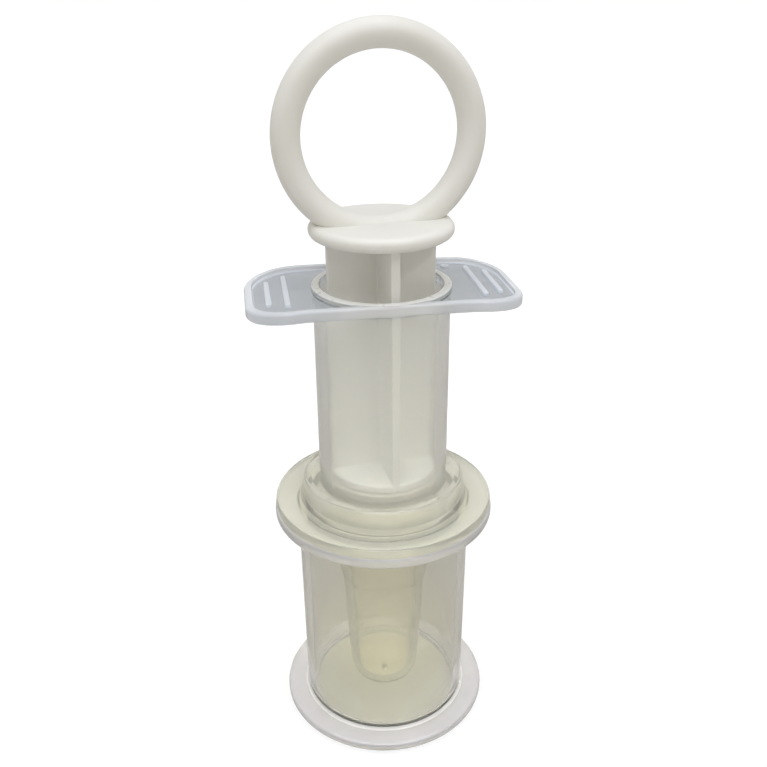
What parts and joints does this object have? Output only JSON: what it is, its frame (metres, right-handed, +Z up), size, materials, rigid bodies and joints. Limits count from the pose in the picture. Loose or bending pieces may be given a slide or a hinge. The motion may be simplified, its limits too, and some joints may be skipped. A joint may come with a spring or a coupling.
{
  "type": "medicine dropper",
  "caption": "Plunger syringe with finger ring and wings that empties through a soft teat, standing in its own clear dust cap.",
  "frame": {"origin": "centre of the dust cap's foot, on the surface it stands on", "axes": "+Z up along the barrel and the plunger's travel, X along the finger wings, Y across them; the pictured front is -Y"},
  "size_m": [0.0474, 0.0416, 0.1324],
  "materials": {
    "clear_plastic": "polished clear polypropylene",
    "silicone": "polished clear silicone with a faint yellow tint",
    "frosted_plastic": "milky natural polypropylene, satin",
    "seal_silicone": "satin milky silicone",
    "white_plastic": "satin white moulded plastic"
  },
  "bodies": {
    "dust_cap": {"dust_cap": "clear_plastic"},
    "teat": {"teat": "silicone"},
    "barrel": {"barrel": "frosted_plastic"},
    "piston_seal": {"piston_seal": "seal_silicone"},
    "plunger": {"plunger": "white_plastic"}
  },
  "joints": [
    {"name": "cap_release", "type": "slide", "parent": "dust_cap", "child": "teat", "axis": [0, 0, 1], "range_m": [0, 0.05]},
    {"name": "teat_release", "type": "slide", "parent": "teat", "child": "barrel", "axis": [0, 0, 1], "range_m": [0, 0.025]},
    {"name": "plunger_slide", "type": "slide", "parent": "barrel", "child": "piston_seal", "axis": [0, 0, 1], "range_m": [0, 0.03]},
    {"name": "plunger_twist", "type": "hinge", "parent": "piston_seal", "child": "plunger", "pos_m": [0, 0, 0.0528], "axis": [0, 0, 1], "continuous": true}
  ]
}
